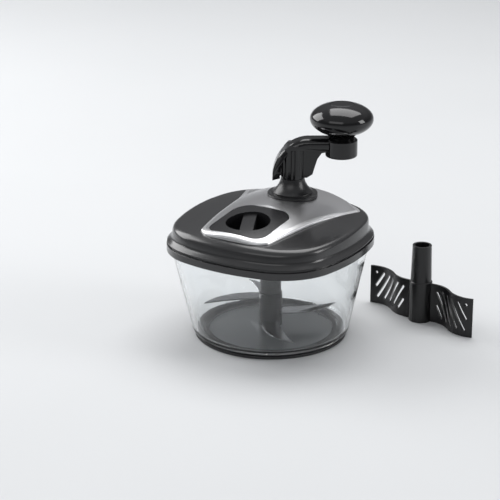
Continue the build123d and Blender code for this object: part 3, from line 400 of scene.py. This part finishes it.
def skin(work, rings, holes, top, height):
    """One side of a crowned piece, bands between its rings and then the field that the last ring
    and the holes bound. The field's points lie at top, and height moves them all to this side.
    It hands over its open edges."""
    grid = 0.0028            # between the field's points
    clear = grid * 0.45      # between them and the field's edges
    reach = 0.10             # of the grid, from the middle
    steps = int(2 * reach / grid)
    loops = [[work.verts.new((x, y, height(x, y, z))) for x, y, z in ring] for ring in rings]
    for low, high in zip(loops, loops[1:]):
        for index in range(len(low)):
            after = (index + 1) % len(low)
            work.faces.new((low[index], low[after], high[after], high[index]))
    rims = [[work.verts.new((x, y, height(x, y, top(x, y)))) for x, y in hole] for hole in holes]
    known = []
    border = []
    for loop in (loops[-1], *rims):
        border += [(len(known) + i, len(known) + (i + 1) % len(loop)) for i in range(len(loop))]
        known += loop
    fences = [[vert.co.xy for vert in loop] for loop in (loops[-1], *rims)]
    for i in range(steps):
        for j in range(steps):
            spot = Vector((-reach + grid * (i + 0.5 * (j % 2)), -reach + grid * j))
            if on_field(spot, fences, clear):
                known.append(work.verts.new((*spot, height(*spot, top(*spot)))))
    flat = [vert.co.xy for vert in known]
    places, _, triangles, sources = geometry.delaunay_2d_cdt(flat, border, [], 0, 1e-7)[:4]
    # A corner without a source lies where the last ring and a hole cross. Its triangles are left
    # out, so the piece has a gap there.
    corners = [known[source[0]] if source else None for source in sources]
    for triangle in triangles:
        face = [corners[corner] for corner in triangle]
        centre = sum((places[corner] for corner in triangle), Vector((0, 0))) / 3
        if None not in face and on_field(centre, fences, 0):
            work.faces.new(face)
    return [loops[0], *rims]


def crowned(rings, holes, top, under):
    """Piece from rings of points, outermost and lowest first, with a crowned field inside the last
    ring. top gives the field's heights and under those of the piece's inner side. It is closed
    unless the last ring and a hole cross."""
    work = bmesh.new()
    outer = skin(work, rings, holes, top, lambda x, y, z: z)
    inner = skin(work, rings, holes, top, under)
    for upper, lower in zip(outer, inner):
        for index in range(len(upper)):
            after = (index + 1) % len(upper)
            work.faces.new((upper[index], lower[index], lower[after], upper[after]))
    bmesh.ops.recalc_face_normals(work, faces=work.faces)
    mesh = bpy.data.meshes.new("crowned")
    work.to_mesh(mesh)
    work.free()
    return mesh


rings = [ring_at(lid_outline(inset), lambda x, y: height) for inset, height in flare]
rings.append(ring_at(lid_outline(skirt_inset), lambda x, y: crease(y) - crease_round))
rings.append(ring_at(lid_outline(crease_inset), lambda x, y: crease(y)))
for step in range(1, roll_steps + 1):
    bend = step / roll_steps * math.pi / 2
    ring = []
    for near, far in zip(lid_outline(roll_inset), lid_outline(roll_inset + roll_depth)):
        foot = crease(near.y)
        rise = dark_top(near.x, near.y) - foot
        share = min(1.0, (roll_least + rise * roll_share) / roll_depth)
        x, y = near + (far - near) * share * (1 - math.cos(bend))
        ring.append((x, y, foot + (dark_top(x, y) - foot) * math.sin(bend)))
    rings.append(ring)
rings.append(ring_at(lid_outline(crown_inset), dark_top))

cap_hole = blunt_square(cap_at, cap_hole_x, cap_hole_y, cap_hole_corner)
cover_plastic = moulded(
    "cover plastic", dark=(0.018, 0.018, 0.019), light=(0.027, 0.027, 0.028), rough=0.24, coat=0.2)
cover = crowned(rings, [cap_hole, round_hole(crank_at, shaft_hole)],
                dark_top, lambda x, y, z: max(cover_foot, z - cover_wall))
land("lid_cover", cover, cover_plastic, "lid")

# ------------------------------------------------------------------ silver panel
# Moulded panel in brushed dark silver, bonded on the cover, with a wide lip all round that rolls over to the
# dark top. The lip is the panel's own silver painted lighter: a painted highlight where its rounded edge
# catches the light.
panel_crown = 0.1338         # highest point, at this place from front to back
panel_y = 0.017
panel_across = 0.300         # twice the radius across the lid
panel_along = 1.040          # and from front to back
panel_stand = 0.0007         # least height over the dark top
panel_wall = 0.0013
panel_gap = 0.0001           # between the panel's inner side and the dark top
lip_stand = 0.0002           # least height of the lip over the dark top
panel_front = (0.0, 0.0110, 0.0220)    # x of the front edge's first points
panel_front_y = (-0.0790, -0.0788, -0.0782)
# y and x of the right edge's places, from the front to the back
panel_edge = ((-0.0765, 0.0278), (-0.0742, 0.0325), (-0.0705, 0.0362), (-0.0650, 0.0390),
              (-0.0320, 0.0448), (0.0000, 0.0495), (0.0320, 0.0570), (0.0610, 0.0667))
panel_edge_steps = 6         # points for each of these
panel_back = 0.013           # in from the lid's outline, behind the edge's end
panel_back_from = 0.0630     # where the back edge begins
panel_back_y = 0.0820        # of its middle
middle_gap = 0.001           # kept free of points beside the middle line
collar_hole = 0.0203
lip_profile = ((0.0, math.inf), (0.0, 0.0016), (0.0003, 0.0011), (0.0009, 0.0007), (0.0018, 0.00035),
               (0.0030, 0.0001), (0.0044, 0.0))    # how far in, how far below the panel's crown


def panel_top(x, y):
    """Height of the silver panel."""
    crown = panel_crown - x * x / panel_across - (y - panel_y) ** 2 / panel_along
    return max(crown, dark_top(x, y) + panel_stand)


def between(before, start, end, after, t):
    """Value at t of a smooth curve that passes through start and end."""
    return (before * (-t / 2 + t * t - t ** 3 / 2) + start * (1 - 2.5 * t * t + 1.5 * t ** 3)
            + end * (t / 2 + 2 * t * t - 1.5 * t ** 3) + after * (-t * t / 2 + t ** 3 / 2))


def panel_outline(inset):
    """Points of the panel's plan, from the middle of the front round by the right, moved inwards."""
    right = [Vector(place) for place in zip(panel_front, panel_front_y)]
    last = len(panel_edge) - 1
    count = len(panel_edge) * panel_edge_steps
    for step in range(count):
        place = step / (count - 1) * last
        low = min(int(place), last - 1)
        near = [panel_edge[max(0, min(last, low + shift))] for shift in (-1, 0, 1, 2)]
        y, x = (between(*values, place - low) for values in zip(*near))
        right.append(Vector((x, y)))
    back = [point for point in lid_outline(panel_back) if point.y > panel_back_from and point.x > middle_gap]
    right += sorted(back, key=lambda point: -point.x)
    left = [Vector((-point.x, point.y)) for point in reversed(right[1:])]
    points = right + [Vector((0.0, panel_back_y))] + left
    moved = []
    for index, point in enumerate(points):
        along = (points[(index + 1) % len(points)] - points[index - 1]).normalized()
        moved.append(point + Vector((-along.y, along.x)) * inset)
    return moved


finish = Finish("silver paint")
brush = finish.noise(size=0.00022, stretch=(1, 0.02, 1))
drift = finish.noise(size=0.03)
silver_paint = finish.close(
    base_color=finish.tint(drift * 0.6 + brush * 0.4, dark=(0.60, 0.60, 0.61), light=(0.70, 0.70, 0.71)),
    metallic=1.0, roughness=0.27 + brush * 0.10, coat_weight=0.15, coat_roughness=0.12,
    normal=finish.bump(brush, depth=0.000004))
# Painted highlight: the lip's silver is lighter than the panel's, so that its rounded edge reads as lit.
finish = Finish("lip painted highlight")
shine = finish.noise(size=0.002, detail=3.0)
lip_painted_highlight = finish.close(
    base_color=finish.tint(shine, dark=(0.80, 0.80, 0.81), light=(0.88, 0.88, 0.89)),
    metallic=1.0, roughness=0.30 + shine * 0.08)
lip = [ring_at(panel_outline(inset), lambda x, y: max(dark_top(x, y) + lip_stand, panel_top(x, y) - drop))
       for inset, drop in lip_profile]
# At the front the lip's inner edge runs into the cap's opening, so the panel isn't closed there.
panel = crowned(lip, [cap_hole, round_hole(crank_at, collar_hole)],
                panel_top, lambda x, y, z: max(z - panel_wall, dark_top(x, y) + panel_gap))
piece = land("silver_panel", panel, silver_paint, "lid")
# The lip's faces take the second slot, the painted highlight.
piece.data.materials.append(lip_painted_highlight)
lip_faces = (len(lip) - 1) * len(lip[0])    # a crowned piece's bands are its first faces
for polygon in piece.data.polygons[:lip_faces]:
    polygon.material_index = 1

# ------------------------------------------------------------------ filler cap
# Lift-out cap over the throat, with a round recess and a turned bar to grip it by.
# One moulding in near-black plastic with its edges broken.
cap_plastic = moulded("cap plastic", dark=(0.008, 0.008, 0.009), light=(0.013, 0.013, 0.014), rough=0.24)
eased("cap_plate", cap_plastic, "filler_cap", width=0.0009)

# ------------------------------------------------------------------ crank collar
# Matte cone that stands on the panel and holds the shaft's upper bearing.
collar_plastic = moulded(
    "collar plastic", dark=(0.010, 0.010, 0.011), light=(0.016, 0.016, 0.017), rough=0.30)
eased("crank_collar", collar_plastic, "lid", width=0.0005)

# ------------------------------------------------------------------ crank arm
# Gloss black moulding: fluted hub, arched arm and a round socket for the knob.
black_gloss = moulded(
    "black gloss", dark=(0.003, 0.003, 0.0035), light=(0.005, 0.005, 0.0055), rough=0.09, spread=0.03)
eased("crank_arm", black_gloss, "crank", width=0.0008)
dress("cross_pin", steel)
dress("knob_pin", steel)
dress("knob_washer", steel)

# ------------------------------------------------------------------ knob
# Flattened ball that turns freely on its pin, with a dished cap on top.
dress("knob_body", black_gloss)
eased("knob_cap", black_gloss, "knob", width=0.0004)

# ------------------------------------------------------------------ floor and light
# Pale table and soft light from large panels, as in a small studio.
table = bmesh.new()
bmesh.ops.create_grid(table, x_segments=1, y_segments=1, size=6.0)
floor = bpy.data.objects.new("floor", bpy.data.meshes.new("floor"))
table.to_mesh(floor.data)
table.free()
scene.collection.objects.link(floor)
finish = Finish("floor")
cloud = finish.noise(size=0.4)
floor.data.materials.append(finish.close(
    base_color=finish.tint(cloud, dark=(0.62, 0.63, 0.64), light=(0.66, 0.67, 0.68)), roughness=0.55))

sky = Finish("studio", "worlds")
direction = sky.add("ShaderNodeTexCoord", {}, {}, "Generated")
upwards = sky.add("ShaderNodeSeparateXYZ", {}, {0: direction}, "Z")
shade = sky.add("ShaderNodeValToRGB", {"stops": (
    (0.00, (0.50, 0.51, 0.53)), (0.10, (0.16, 0.1616, 0.1664)), (0.32, (0.20, 0.2020, 0.2080)),
    (0.60, (0.42, 0.4242, 0.4368)), (1.00, (0.46, 0.47, 0.48)))}, {0: upwards})
glow = sky.add("ShaderNodeBackground", {}, {"Color": shade, "Strength": 1.0})
sky.add("ShaderNodeOutputWorld", {}, {"Surface": glow})
scene.world = sky.owner


def lamp(name, place, aim, width, height, power):
    """A large soft panel."""
    light = bpy.data.objects.new(name, bpy.data.lights.new(name, "AREA"))
    light.data.shape = "RECTANGLE"
    light.data.size = width
    light.data.size_y = height
    light.data.energy = power
    light.location = place
    light.rotation_euler = (Vector(aim) - Vector(place)).to_track_quat("-Z", "Y").to_euler()
    scene.collection.objects.link(light)


lamp("left window", place=(-2.0, -0.1, 1.2), aim=(0, 0, 0.12), width=1.7, height=1.5, power=38)
lamp("overhead", place=(-0.2, 0.9, 2.2), aim=(0, 0, 0.1), width=1.9, height=1.5, power=34)
lamp("right fill", place=(1.9, 0.7, 0.9), aim=(0, 0, 0.12), width=0.7, height=1.0, power=12)
lamp("front", place=(0.3, -2.4, 1.9), aim=(0, 0, 0.1), width=2.6, height=1.1, power=11)
